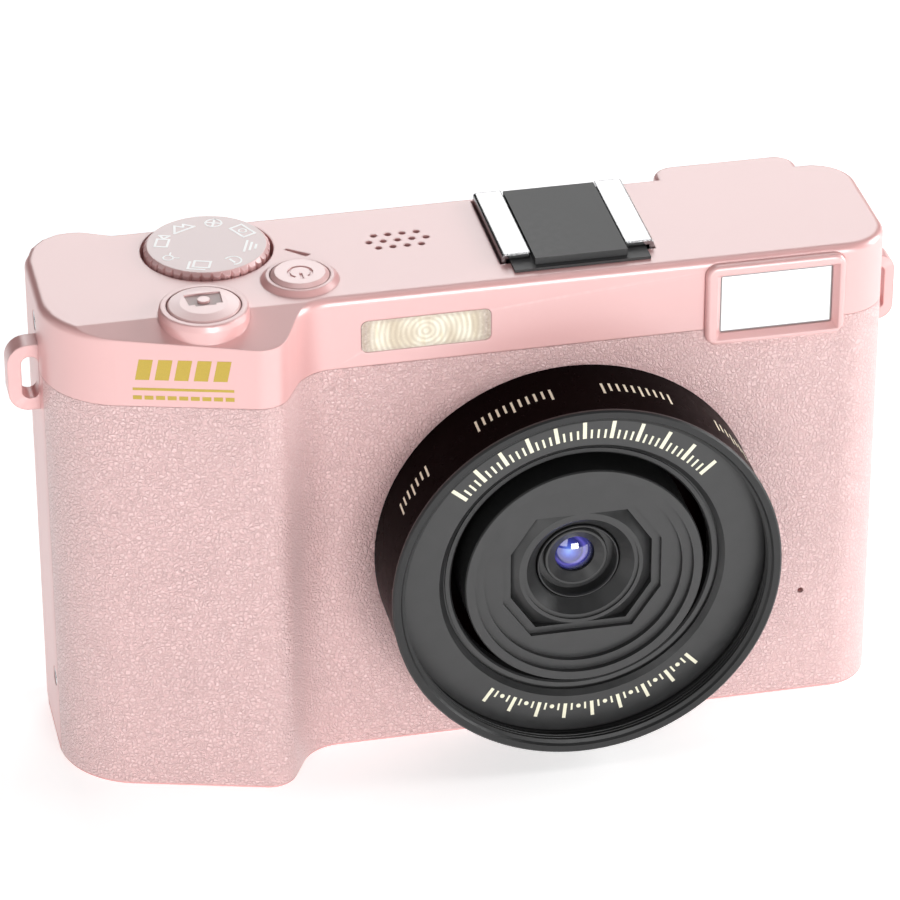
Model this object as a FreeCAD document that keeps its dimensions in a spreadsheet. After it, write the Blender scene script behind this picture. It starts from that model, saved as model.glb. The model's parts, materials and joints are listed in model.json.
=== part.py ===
import FreeCAD, Part
import Sketcher
import math
import os

# Compact digital camera.  Millimetres, +Z up, the lens looks along -Y, the hand grip is at -X.
# Origin: mouth centre of the tripod socket, on the base plane, below the lens axis.

os.makedirs("parts", exist_ok=True)
V = FreeCAD.Vector
doc = FreeCAD.newDocument("CompactCamera")
sheet = doc.addObject("Spreadsheet::Sheet", "Dims")

DIMS = [
    # body envelope
    ("body_left", 71.65), ("body_right", 45.75), ("half_depth", 12.6), ("body_height", 72.0),
    ("split_height", 61.2), ("split_depth", 4.0), ("seam_gap", 0.05),
    ("skin_thick", 0.5), ("wall_thick", 1.6), ("base_thick", 1.8), ("skin_edge_y", 6.4),
    # hand grip plan
    ("grip_corner_y", 13.6), ("grip_nose_x", 41.5), ("grip_nose_y", 21.9), ("grip_root_x", 36.6),
    ("corner_grip", 12.0), ("corner_nose", 4.0), ("corner_root", 6.0), ("corner_front", 6.5), ("corner_rear", 6.0),
    ("top_round", 1.1), ("base_round", 0.25), ("rim_thick", 0.45), ("facet_y", 12.4), ("facet_drop", 3.58),
    # lens
    ("lens_height", 30.5), ("ring_front", 25.77), ("ring_radius", 27.5), ("barrel_radius", 27.35),
    ("thread_minor", 25.65), ("thread_major", 26.2), ("baffle_radius", 16.89), ("cell_bore", 6.0),
    # dial
    ("dial_x", 46.8), ("dial_y", 5.1), ("dial_radius", 8.65), ("dial_top", 72.85), ("dial_recess", 9.15),
    ("dial_floor", 69.3), ("shaft_radius", 1.9), ("shaft_hole", 1.98),
    # shutter release
    ("shutter_x", 50.2), ("shutter_y", 12.9), ("shutter_bore", 5.1), ("shutter_cap", 4.95), ("shutter_lip_top", 73.45),
    # power button
    ("power_x", 35.9), ("power_y", 5.95), ("power_bore", 4.15), ("power_cap", 4.02), ("power_lip_top", 72.74),
    # flash window
    ("flash_x", 28.85), ("flash_z", 63.33), ("flash_wide", 17.98), ("flash_tall", 4.8),
    # viewfinder
    ("finder_x", 19.0), ("finder_z", 59.0), ("finder_wide", 19.75), ("finder_tall", 12.3), ("finder_proud", 1.0),
    # accessory shoe
    ("shoe_mid", 2.35), ("shoe_half", 10.65), ("shoe_front", 7.4), ("shoe_rear", 11.1), ("shoe_top", 73.3),
    ("cover_half", 6.45), ("cover_plate_half", 9.5),
    # base
    ("socket_radius", 2.55), ("socket_depth", 5.5), ("insert_radius", 4.5),
    ("door_left", 68.6), ("door_hinge_x", 36.6), ("door_front", 10.4), ("door_rear", 6.4), ("pin_radius", 0.45),
    # rear controls and display
    ("display_left", 33.5), ("display_right", 38.5), ("display_low", 4.5), ("display_high", 56.0),
    ("pad_x", 52.0), ("pad_z", 25.0), ("pad_radius", 9.5),
    # strap lugs
    ("lug_low", 55.2), ("lug_high", 65.2), ("lug_front", 4.2), ("lug_thick", 3.2),
    # cells
    ("battery_wide", 30.0), ("battery_thick", 6.0), ("battery_tall", 40.0),
]
VAL = {}
for row, (alias, number) in enumerate(DIMS, start=1):
    sheet.set("A%d" % row, alias)
    sheet.set("B%d" % row, str(number))
    sheet.setAlias("B%d" % row, alias)
    VAL[alias] = number
doc.recompute()


class Q:
    """A number together with the spreadsheet expression that gives it."""

    def __init__(self, v, t):
        self.v = float(v)
        self.t = t

    def __add__(self, o):
        o = q(o)
        return Q(self.v + o.v, "(%s + %s)" % (self.t, o.t))
    __radd__ = __add__

    def __sub__(self, o):
        o = q(o)
        return Q(self.v - o.v, "(%s - %s)" % (self.t, o.t))

    def __rsub__(self, o):
        return q(o) - self

    def __mul__(self, o):
        o = q(o)
        return Q(self.v * o.v, "(%s * %s)" % (self.t, o.t))
    __rmul__ = __mul__

    def __neg__(self):
        return Q(-self.v, "(-1 * %s)" % self.t)


def q(x):
    if isinstance(x, Q):
        return x
    s = "%.6f" % float(x)
    return Q(x, s if float(x) >= 0 else "(%s)" % s)


class Dims:
    def __getattr__(self, name):
        return Q(VAL[name], "Dims." + name)


D = Dims()
NODES = []


def bind(obj, prop, x):
    x = q(x)
    obj.setExpression(prop, x.t)


def place(obj, x, y, z, rot=None):
    if rot is not None:
        obj.Placement = FreeCAD.Placement(V(0, 0, 0), rot)
    bind(obj, "Placement.Base.x", x)
    bind(obj, "Placement.Base.y", y)
    bind(obj, "Placement.Base.z", z)


def node(name, obj):
    obj.Label = name
    NODES.append((name, obj))
    return obj


def box(name, x0, x1, y0, y1, z0, z1):
    o = doc.addObject("Part::Box", name)
    x0, x1, y0, y1, z0, z1 = [q(k) for k in (x0, x1, y0, y1, z0, z1)]
    bind(o, "Length", x1 - x0)
    bind(o, "Width", y1 - y0)
    bind(o, "Height", z1 - z0)
    place(o, x0, y0, z0)
    return o


ROT = {"z": None, "y": FreeCAD.Rotation(V(1, 0, 0), -90), "x": FreeCAD.Rotation(V(0, 1, 0), 90)}


def cyl(name, x, y, z, r, length, axis="z", angle=None):
    """A cylinder that starts at x, y, z and runs towards + on its axis."""
    o = doc.addObject("Part::Cylinder", name)
    bind(o, "Radius", r)
    bind(o, "Height", length)
    if angle:
        o.Angle = angle
    place(o, x, y, z, ROT[axis])
    return o


def cone(name, x, y, z, r1, r2, length, axis="z"):
    o = doc.addObject("Part::Cone", name)
    bind(o, "Radius1", r1)
    bind(o, "Radius2", r2)
    bind(o, "Height", length)
    place(o, x, y, z, ROT[axis])
    return o


def fuse(name, *objs):
    o = doc.addObject("Part::MultiFuse", name)
    o.Shapes = list(objs)
    return o


def cut(name, base, *tools):
    o = doc.addObject("Part::Cut", name)
    o.Base = base
    if len(tools) == 1:
        o.Tool = tools[0]
    else:
        t = doc.addObject("Part::MultiFuse" if len(tools) > 1 else "Part::Compound", name + "_tools")
        t.Shapes = list(tools)
        o.Tool = t
    return o


def common(name, *objs):
    o = doc.addObject("Part::MultiCommon", name)
    o.Shapes = list(objs)
    return o


def group(name, *objs):
    o = doc.addObject("Part::Compound", name)
    o.Links = list(objs)
    return o


def sketch(body, name, plane, pts):
    """A closed polygon whose every corner is dimensioned from the sheet."""
    sk = body.newObject("Sketcher::SketchObject", name)
    ref = [f for f in body.Origin.OriginFeatures if f.Role == plane][0]
    sk.AttachmentSupport = (ref, [""])
    sk.MapMode = "FlatFace"
    pts = [(q(a), q(b)) for a, b in pts]
    n = len(pts)
    sk.addGeometry([Part.LineSegment(V(pts[i][0].v, pts[i][1].v, 0),
                                     V(pts[(i + 1) % n][0].v, pts[(i + 1) % n][1].v, 0)) for i in range(n)])
    sk.addConstraint([Sketcher.Constraint("Coincident", i, 2, (i + 1) % n, 1) for i in range(n)])
    for i in range(n):
        for kind, k in (("DistanceX", 0), ("DistanceY", 1)):
            c = sk.addConstraint(Sketcher.Constraint(kind, -1, 1, i, 1, pts[i][k].v))
            if "Dims" in pts[i][k].t:
                sk.setExpression("Constraints[%d]" % c, pts[i][k].t)
    return sk


def fillet(body, name, pick, r, chamfer=False):
    doc.recompute()
    prev = body.Tip
    ids = ["Edge%d" % (i + 1) for i, e in enumerate(prev.Shape.Edges) if pick(e)]
    if not ids:
        raise RuntimeError("no edge for " + name)
    f = body.newObject("PartDesign::Chamfer" if chamfer else "PartDesign::Fillet", name)
    f.Base = (prev, ids)
    bind(f, "Size" if chamfer else "Radius", r)
    body.Tip = f
    return f


def at_xy(x, y, tol=0.02):
    x, y = q(x).v, q(y).v
    return lambda e: (len(e.Vertexes) == 2 and all(abs(p.X - x) < tol and abs(p.Y - y) < tol for p in e.Vertexes)
                      and abs(e.Vertexes[0].Z - e.Vertexes[1].Z) > tol)


def flat_at(k, value, tol=0.01):
    def pick(e):
        b = e.BoundBox
        lo, hi = ((b.XMin, b.XMax), (b.YMin, b.YMax), (b.ZMin, b.ZMax))[k]
        return abs(lo - value) < tol and abs(hi - value) < tol
    return pick


def rbox(name, axis, a0, a1, b0, b1, c0, c1, r, soft=None, soft_end="hi"):
    """A block with rounded corners about one axis.  a,b: in-plane limits in axis order, c: limits along the axis."""
    body = doc.addObject("PartDesign::Body", name)
    plane = {"z": "XY_Plane", "y": "XZ_Plane", "x": "YZ_Plane"}[axis]
    a0, a1, b0, b1, c0, c1 = [q(k) for k in (a0, a1, b0, b1, c0, c1)]
    sk = sketch(body, name + "_outline", plane, [(a0, b0), (a1, b0), (a1, b1), (a0, b1)])
    pad = body.newObject("PartDesign::Pad", name + "_pad")
    pad.Profile = sk
    bind(pad, "Length", c1 - c0)
    if axis == "z":
        place(body, 0, 0, c0)
    elif axis == "x":
        place(body, c0, 0, 0)
    else:
        place(body, 0, c1, 0)
    k = {"x": 0, "y": 1, "z": 2}[axis]

    def along(e):
        if len(e.Vertexes) != 2:
            return False
        p, s = e.Vertexes[0].Point, e.Vertexes[1].Point
        d = [abs(p[i] - s[i]) for i in range(3)]
        return d[k] > 1e-3 and all(d[i] < 1e-3 for i in range(3) if i != k)
    if r:
        fillet(body, name + "_corners", along, r)
    if soft:
        span = (c1 - c0).v
        local = {"z": (0.0, span), "x": (0.0, span), "y": (-span, 0.0)}[axis]
        value = local[1] if soft_end == "hi" else local[0]
        fillet(body, name + "_soft", flat_at(k, value), soft)
    return body


def rev(name, plane, pts, x, y, z, rounds=()):
    """A turned piece: pts are (radius, height along its axis); XZ turns about Z, XY about Y."""
    body = doc.addObject("PartDesign::Body", name)
    sk = sketch(body, name + "_profile", plane + "_Plane", pts)
    r = body.newObject("PartDesign::Revolution", name + "_turn")
    r.Profile = sk
    r.ReferenceAxis = (sk, ["V_Axis"])
    r.Angle = 360
    place(body, x, y, z)
    k = 2 if plane == "XZ" else 1
    for i, (er, eh, rad) in enumerate(rounds):
        er, eh = q(er).v, q(eh).v

        def ring(e, er=er, eh=eh):
            c = e.Curve
            return (c.TypeId == "Part::GeomCircle" and abs(c.Radius - er) < 0.02 and abs(c.Center[k] - eh) < 0.02)
        fillet(body, "%s_round%d" % (name, i), ring, rad)
    return body


def prism(name, plane, pts, c0, c1):
    """A straight prism of a polygon.  XY runs up +Z from c0 to c1; XZ spans y = c0 to c1; YZ spans x = c0 to c1."""
    body = doc.addObject("PartDesign::Body", name)
    sk = sketch(body, name + "_outline", plane + "_Plane", pts)
    pad = body.newObject("PartDesign::Pad", name + "_pad")
    pad.Profile = sk
    bind(pad, "Length", q(c1) - c0)
    if plane == "XY":
        place(body, 0, 0, c0)
    elif plane == "XZ":
        place(body, 0, c1, 0)
    else:
        place(body, c0, 0, 0)
    return body


# ---------------------------------------------------------------- plan outline
BASE = [(-D.body_left, -D.grip_corner_y), (-D.grip_nose_x, -D.grip_nose_y), (-D.grip_root_x, -D.half_depth),
        (D.body_right, -D.half_depth), (D.body_right, D.half_depth), (-D.body_left, D.half_depth)]


def inset(t):
    """The plan outline moved inwards by t, as sheet expressions."""
    out = []
    n = len(BASE)
    for i in range(n):
        p0, p1, p2 = [(BASE[(i + k) % n][0].v, BASE[(i + k) % n][1].v) for k in (-1, 0, 1)]
        d1 = V(p1[0] - p0[0], p1[1] - p0[1], 0).normalize()
        d2 = V(p2[0] - p1[0], p2[1] - p1[1], 0).normalize()
        n1, n2 = V(-d1.y, d1.x, 0), V(-d2.y, d2.x, 0)
        w = (n1 + n2) * (1.0 / (1.0 + n1.dot(n2)))
        out.append((BASE[i][0] + q(w.x) * t, BASE[i][1] + q(w.y) * t))
    return out


def form(name, t, z0, z1):
    t = q(t)
    pts = inset(t)
    body = prism(name, "XY", pts, z0, z1)
    radii = [D.corner_grip - t, D.corner_nose - t, D.corner_root + t, D.corner_front - t, D.corner_rear - t,
             D.corner_rear - t]
    for i, r in enumerate(radii):
        fillet(body, "%s_c%d" % (name, i), at_xy(pts[i][0], pts[i][1]), r)
    return body


# ---------------------------------------------------------------- screws (used as pieces and as the holes they fill)
def screw(name, x, y, z, axis, sign):
    """Pan-head screw; x, y, z is the centre of its outer face, sign the way the shank points."""
    hl, sl = 0.9, 1.3
    def run(tag, off, r, length):
        start = off if sign > 0 else -(off + length)
        p = [x, y, z]
        k = "xyz".index(axis)
        p[k] = q(p[k]) + start
        return cyl(name + tag, p[0], p[1], p[2], r, length, axis)
    head = run("_head", 0.0, 1.45, hl)
    shank = run("_shank", hl, 0.8, sl)
    whole = fuse(name + "_whole", head, shank)
    # the hole keeps the head open to the outside
    hole = fuse(name + "_hole", run("_seat", 0.0, 1.45, hl), run("_drill", hl, 0.8, sl), run("_mouth", -2.5, 1.45, 2.5))
    p = [q(x), q(y), q(z)]
    k = "xyz".index(axis)
    arms = []
    for j in [i for i in range(3) if i != k]:
        lim = []
        for i in range(3):
            if i == k:
                lim += [p[i] - 0.45, p[i] + 0.45]
            elif i == j:
                lim += [p[i] - 0.85, p[i] + 0.85]
            else:
                lim += [p[i] - 0.17, p[i] + 0.17]
        arms.append(box("%s_arm%d" % (name, j), *lim))
    return hole, cut(name, whole, *arms)


SCREWS = [
    ("screw_left_top", -D.body_left + 0.08, -1.4, 67.5, "x", 1),
    ("screw_left_low", -D.body_left + 0.1, -4.4, 12.1, "x", 1),
    ("screw_right_top", D.body_right - 0.08, -1.4, 67.5, "x", -1),
    ("screw_right_low", D.body_right - 0.08, -4.4, 12.1, "x", -1),
    ("screw_base_a", -30.0, 9.0, 0.08, "z", 1),
    ("screw_base_b", 40.0, 7.0, 0.08, "z", 1),
    ("screw_base_c", 40.0, -7.0, 0.08, "z", 1),
    ("screw_base_d", -30.0, -8.6, 0.08, "z", 1),
]
made = [screw(*s) for s in SCREWS]
screw_holes = fuse("screw_holes", *[m[0] for m in made])
node("case_screws", group("case_screws", *[m[1] for m in made]))

# ---------------------------------------------------------------- strap lugs
def lug(name, side, reach):
    """A closed loop on the side wall, with a foot that passes through the wall."""
    if side < 0:
        xo, xi = -D.body_left - reach, -D.body_left + 1.9
        hole = (-D.body_left - reach + 1.9, -D.body_left - 0.05)
        outer = [(xi, D.lug_low + 0.2), (xi, D.lug_high - 0.2), (-D.body_left, D.lug_high), (xo, D.lug_high),
                 (xo, D.lug_low), (-D.body_left, D.lug_low)]
    else:
        xo, xi = D.body_right + reach, D.body_right - 1.9
        hole = (D.body_right + 0.05, D.body_right + reach - 1.35)
        outer = [(xi, D.lug_low + 0.2), (D.body_right, D.lug_low), (xo, D.lug_low), (xo, D.lug_high),
                 (D.body_right, D.lug_high), (xi, D.lug_high - 0.2)]
    solid = prism(name + "_bar", "XZ", outer, -D.lug_front, -D.lug_front + D.lug_thick)
    fillet(solid, name + "_soft", lambda e: len(e.Vertexes) == 2 and abs(e.Vertexes[0].Y - e.Vertexes[1].Y) > 1
           and abs(e.Vertexes[0].X - q(xo).v) < 0.05, 2.9 if side < 0 else 2.2)
    slot = rbox(name + "_slot", "y", hole[0], hole[1], D.lug_low + 1.8, D.lug_high - 1.8,
                -D.lug_front - 1, -D.lug_front + D.lug_thick + 1, 1.1 if side < 0 else 0.6)
    return solid, cut(name, solid, slot)


lug_l = lug("lug_left", -1, 4.3)
lug_r = lug("lug_right", 1, 2.8)
node("strap_lugs", group("strap_lugs", lug_l[1], lug_r[1]))
lug_holes = fuse("lug_holes", lug_l[0], lug_r[0])

# ---------------------------------------------------------------- outer forms
zt0 = D.split_height + D.seam_gap
top_form = form("top_form", 0.0, zt0, D.body_height)
wedge = prism("facet_wedge", "YZ", [(-D.facet_y, D.body_height), (-D.facet_y - 17.6, D.body_height - D.facet_drop),
                                    (-D.facet_y - 17.6, D.body_height + 4), (-D.facet_y, D.body_height + 4)],
              -D.body_left - 5, D.body_right + 5)
# the rounded top edge: a fillet on the top outline before the grip facet is cut
fillet(top_form, "top_form_edge", flat_at(2, (D.body_height - zt0).v), D.top_round)
top_faceted = cut("top_faceted", top_form, wedge)
hump = rbox("eyepiece_hump", "z", 18.2, 38.8, 6.0, D.half_depth + 3.4, zt0, D.body_height, 3.0, 0.9)
ridge_pts = [(-69.6, 8.6), (-71.1, 8.6), (-70.3, 11.0), (-68.6, D.half_depth + 0.5), (-66.4, D.half_depth + 1.75),
             (-64.6, D.half_depth + 1.9), (-62.9, D.half_depth + 1.75), (-58.6, D.half_depth - 0.3), (-58.6, 8.6)]
ridge_pts = ridge_pts[::-1]
ridge_top = prism("thumb_ridge_top", "XY", ridge_pts, zt0, D.body_height)
fillet(ridge_top, "thumb_ridge_top_soft", lambda e: len(e.Vertexes) == 2 and e.Vertexes[0].Y > 14
       and e.Vertexes[1].Y > 14 and abs(e.Vertexes[0].Z - e.Vertexes[1].Z) > 1, 1.6)
fillet(ridge_top, "thumb_ridge_top_edge", lambda e: e.BoundBox.ZMin > 10.7 and e.BoundBox.YMax > 8.9, 0.8)

# ---------------------------------------------------------------- top cover
boss_shutter = rev("shutter_boss", "XZ", [(2.0, 67.4), (6.15, 67.4), (6.15, 72.5), (5.95, D.shutter_lip_top),
                                          (2.0, D.shutter_lip_top)], -D.shutter_x, -D.shutter_y, 0,
                   [(5.95, D.shutter_lip_top, 0.25)])
boss_power = cone("power_boss", -D.power_x, -D.power_y, 71.5, 5.9, 4.66, D.power_lip_top - 71.5)
top_mass = fuse("top_mass", top_faceted, hump, ridge_top, boss_shutter, boss_power)
# cavity under the top plate, lower inside the grip, less the seats that stay solid
cav_low = form("cavity_low", D.wall_thick, zt0 - 3, 68.4)
cav_high = box("cavity_high", -66.0, 40.0, -D.half_depth + D.wall_thick, D.half_depth - D.wall_thick - 0.6, 68.0, 70.2)
seats = fuse("top_seats", cyl("seat_dial", -D.dial_x, D.dial_y, 67.8, 10.3, 6),
             cyl("seat_shutter", -D.shutter_x, -D.shutter_y, 67.4, 7.4, 8),
             cyl("seat_power", -D.power_x, -D.power_y, 68.9, 5.8, 4),
             box("seat_shoe", D.shoe_mid - 12.2, D.shoe_mid + 12.2, -D.shoe_front - 2, 14, 69.2, 73))
cavity_top = cut("cavity_top", fuse("cavity_all", cav_low, cav_high), seats)
rows = [(4, 4.12), (5, 2.32), (4, 0.52)]
holes = []
for cnt, yy in rows:
    for i in range(cnt):
        holes.append(cyl("sound_hole_%d_%d" % (int(yy * 100), i), -20.77 + (i - (cnt - 1) / 2.0) * 2.0, yy, 68, 0.47, 6))
flash_hole = rbox("flash_hole", "y", -D.flash_x, -D.flash_x + D.flash_wide, D.flash_z, D.flash_z + D.flash_tall,
                  -14, -10, 0.9)
finder_hole = rbox("finder_hole", "y", D.finder_x, D.finder_x + D.finder_wide, D.finder_z, D.finder_z + D.finder_tall,
                   -16, -9.9, 1.7)
shoe_l, shoe_r = D.shoe_mid - D.shoe_half, D.shoe_mid + D.shoe_half
shoe_pocket = box("shoe_pocket", shoe_l - 0.25, shoe_r + 0.25, -D.shoe_front - 0.25, D.shoe_rear + 0.2, 70.4, 75)
shoe_channel = box("shoe_channel", D.shoe_mid - 9.8, D.shoe_mid + 9.8, 0, 20, 70.4, 75)
eye_hole = rbox("eye_hole", "y", 22.0, 35.0, 62.6, 69.4, 5, 18, 1.2)
index_mark = prism("index_mark", "XY", [(-36.45, 2.75), (-33.95, 0.25), (-33.15, 0.75), (-36.15, 3.0)], 71.72, 74)
node("top_cover", cut("top_cover", top_mass, cavity_top,
                      cyl("dial_well", -D.dial_x, D.dial_y, D.dial_floor, D.dial_recess, 8),
                      cyl("dial_hole", -D.dial_x, D.dial_y, 60, D.shaft_hole, 12),
                      cyl("shutter_well", -D.shutter_x, -D.shutter_y, 69.0, D.shutter_bore, 8),
                      cyl("shutter_guide", -D.shutter_x, -D.shutter_y, 60, 1.6, 12),
                      cyl("power_well", -D.power_x, -D.power_y, 70.4, D.power_bore, 5),
                      cyl("power_guide", -D.power_x, -D.power_y, 60, 1.3, 12),
                      flash_hole, finder_hole, shoe_pocket, shoe_channel, eye_hole, index_mark,
                      screw_holes, lug_holes, *holes))

# ---------------------------------------------------------------- front and rear shells, bottom plate, leatherette
z0, z1 = D.base_thick, D.split_height
flush = form("flush_form", 0.0, z0, z1)
under = form("under_form", D.skin_thick, z0, z1)
cavity = form("cavity_form", D.skin_thick + D.wall_thick, z0 - 1, z1 + 1)
front_half = box("front_half", -80, 60, -40, D.split_depth, -1, 80)
side_band = box("side_band", -80, 60, -D.skin_edge_y, D.split_depth, -1, 80)
lens_hole = cyl("lens_hole", 0, -14, D.lens_height, 14.6, 6, "y")
mic_hole = cyl("mic_hole", 34.3, -14, 17.0, 0.45, 6, "y")
usb_hole = rbox("usb_hole", "x", -2.7, 0.7, 17.4, 26.6, 40, 50, 1.5)
front_mass = fuse("front_mass", common("front_under", under, front_half), common("front_flush", flush, side_band))
node("front_shell", cut("front_shell", front_mass, cavity, lens_hole, mic_hole, usb_hole, finder_hole, screw_holes,
                        lug_holes))
skin_box = box("skin_box", -80, 60, -40, -D.skin_edge_y - 0.05, -1, 80)
skin_full = form("skin_form", 0.0, D.rim_thick + 0.05, z1)
under_low = form("under_low", D.skin_thick, 0.2, z0 + 0.3)
barrel_hole = cyl("barrel_hole", 0, -30, D.lens_height, D.barrel_radius + 0.05, 25, "y")
node("front_leatherette", cut("front_leatherette", common("skin_band", skin_full, skin_box), under, under_low, barrel_hole,
                              mic_hole, finder_hole, screw_holes, lug_holes))

rear_half = box("rear_half", -80, 60, D.split_depth + D.seam_gap, 40, -1, 80)
ridge_low = prism("thumb_ridge_low", "XY", ridge_pts, 34, z1)
fillet(ridge_low, "thumb_ridge_low_soft", lambda e: len(e.Vertexes) == 2 and e.Vertexes[0].Y > 14
       and e.Vertexes[1].Y > 14 and abs(e.Vertexes[0].Z - e.Vertexes[1].Z) > 1, 1.6)
fillet(ridge_low, "thumb_ridge_low_end", lambda e: e.BoundBox.ZMax < 0.01 and e.BoundBox.YMin > 12.0, 1.6)
glass_well = rbox("glass_well", "y", -D.display_left, D.display_right, D.display_low, D.display_high, 11.25, 16, 1.6)
glass_hole = rbox("glass_hole", "y", -D.display_left + 1.6, D.display_right - 1.6, D.display_low + 1.6,
                  D.display_high - 1.6, 5, 16, 1.0)
BUTTONS = [("menu_button", -44.6, 42.5), ("playback_button", -44.6, 8.6), ("delete_button", -58.9, 8.6)]
rear_cuts = [glass_well, glass_hole, screw_holes,
             cyl("pad_hole", -D.pad_x, 5, D.pad_z, D.pad_radius + 0.15, 15, "y")]
for n, bx, bz in BUTTONS:
    rear_cuts.append(cyl(n + "_hole", bx, 5, bz, 2.85, 15, "y"))
rear_cuts.append(rbox("rocker_hole", "y", -57.3, -41.7, 50.6, 56.6, 5, 18, 1.4))
rear_mass = fuse("rear_mass", common("rear_flush", flush, rear_half), ridge_low)
node("rear_shell", cut("rear_shell", rear_mass, cavity, *rear_cuts))

# the base: a thin rim over the whole outline; above it the front half stands inside the leatherette
plate_rim = form("plate_rim", 0.12, 0, D.rim_thick)
fillet(plate_rim, "plate_rim_edge", flat_at(2, 0.0), D.base_round)
plate_core = form("plate_core", D.skin_thick + 0.06, 0.2, D.base_thick - 0.03)
plate_rear = common("plate_rear", form("plate_rear_form", 0.12, 0.2, D.base_thick - 0.03),
                    box("plate_rear_box", -80, 60, -D.skin_edge_y, 40, -1, 80))
plate_form = fuse("plate_form", plate_rim, plate_core, plate_rear)
door_gap = box("door_gap", -D.door_left, -D.door_hinge_x, -D.door_front, D.door_rear, -1, 3)
hinge_gap = box("hinge_gap", -D.door_hinge_x - 1, -D.door_hinge_x + 1.15, -D.door_front + 1.2, D.door_rear - 1.2, -1, 3)
pin_hole = cyl("pin_hole", -D.door_hinge_x, -D.door_front - 1.0, 0.9, D.pin_radius, D.door_front + D.door_rear + 2.0, "y")
insert_hole = cyl("insert_hole", 0, 0, -1, D.insert_radius, 5)
node("bottom_plate", cut("bottom_plate", plate_form, door_gap, hinge_gap, pin_hole, insert_hole, screw_holes))

# ---------------------------------------------------------------- battery door, its pin and its latch
door_slab = rbox("door_slab", "z", -D.door_left + 0.15, -D.door_hinge_x, -D.door_front + 0.15, D.door_rear - 0.15, 0.0,
                 D.base_thick - 0.03, 0.8)
door_ears = box("door_trim", -D.door_hinge_x - 2.0, -D.door_hinge_x + 1, -D.door_front, -D.door_front + 1.35, -1, 3)
door_ears2 = box("door_trim2", -D.door_hinge_x - 2.0, -D.door_hinge_x + 1, D.door_rear - 1.35, D.door_rear, -1, 3)
knuckle = cyl("door_knuckle", -D.door_hinge_x, -D.door_front + 1.35, 0.9, 0.87, D.door_front + D.door_rear - 2.7, "y")
latch_well = rbox("latch_well", "z", -66.9, -61.9, -6.6, 2.6, -1, 0.95, 0.8)
door_solid = fuse("door_solid", cut("door_plain", door_slab, door_ears, door_ears2), knuckle)
node("battery_door", cut("battery_door", door_solid, latch_well,
                         cyl("knuckle_bore", -D.door_hinge_x, -D.door_front - 1, 0.9, D.pin_radius + 0.05,
                             D.door_front + D.door_rear + 2, "y")))
node("door_hinge_pin", cyl("door_hinge_pin", -D.door_hinge_x, -D.door_front - 0.95, 0.9, D.pin_radius,
                           D.door_front + D.door_rear + 1.9, "y"))
latch_base = rbox("latch_base", "z", -66.7, -63.2, -6.4, 2.4, 0.1, 0.8, 0.6)
latch_rib = []
for i in range(4):
    latch_rib.append(box("latch_rib_%d" % i, -66.2 + 0.75 * i, -65.9 + 0.75 * i, -5.6, 1.6, 0.03, 0.2))
node("door_latch", fuse("door_latch", latch_base, *latch_rib))

# ---------------------------------------------------------------- tripod insert
node("tripod_insert", rev("tripod_insert", "XZ", [
    (D.socket_radius, 0), (D.insert_radius, 0), (D.insert_radius, D.base_thick), (6.4, D.base_thick), (6.4, 3.2),
    (4.4, 3.2), (4.4, 7.4), (0, 7.4), (0, D.socket_depth), (D.socket_radius, D.socket_depth)], 0, 0, 0))

# ---------------------------------------------------------------- lens: distances are measured back from the ring's front
def lens(name, pts, rounds=()):
    return rev(name, "XY", pts, 0, -D.ring_front, D.lens_height, rounds)


node("lens_barrel", lens("lens_barrel", [
    (26.85, 0.6), (D.barrel_radius, 0.6), (D.barrel_radius, 13.67), (14.0, 13.67), (14.0, 11.7), (25.3, 11.7),
    (25.3, 6.65), (26.85, 6.65)]))
thread = [(26.35, 0.0), (26.1, 0.35)]
for i, k in enumerate((0.6, 1.2, 1.8, 2.4, 3.0)):
    land = D.thread_minor if i < 3 else D.thread_minor + 0.35
    root = D.thread_major if i < 2 else D.thread_major + 0.2
    thread += [(land, k), (land, k + 0.2)] if i == 4 else [(land, k), (land, k + 0.2), (root, k + 0.4)]
thread = thread[:-1] + [(D.thread_minor + 0.35, 4.2), (26.83, 4.2), (26.83, 0.6), (D.ring_radius, 0.6),
                        (D.ring_radius, 0.25), (D.ring_radius - 0.25, 0.0)]
node("lens_front_ring", lens("lens_front_ring", thread))
node("lens_name_ring", lens("lens_name_ring", [
    (25.92, 3.5), (20.28, 3.5), (19.55, 4.15), (19.55, 4.7), (19.3, 4.7), (19.25, 4.45),
    (18.65, 4.5), (18.4, 4.75), (18.4, 6.6), (26.8, 6.6), (26.8, 4.25), (25.92, 4.25)]))
baffle_turn = lens("baffle_turn", [
    (D.baffle_radius, 11.66), (D.baffle_radius, 2.5), (16.72, 2.29), (15.5, 2.29), (15.5, 3.05), (14.05, 3.05),
    (14.05, 3.8), (D.cell_bore, 3.8), (D.cell_bore, 8.9), (12.7, 8.9), (12.7, 6.6), (15.9, 6.6), (15.9, 11.66)])


def octagon(name, cx, cy, dx, dy, d0, d1):
    pts = [(cx, -cy + 0.0), (cx, cy), (dx, dy), (-dx, dy), (-cx, cy), (-cx, -cy), (-dx, -dy), (dx, -dy)]
    pts = [(q(a), D.lens_height + b) for a, b in pts]
    return prism(name, "XZ", pts, -D.ring_front + d0, -D.ring_front + d1)


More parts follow.
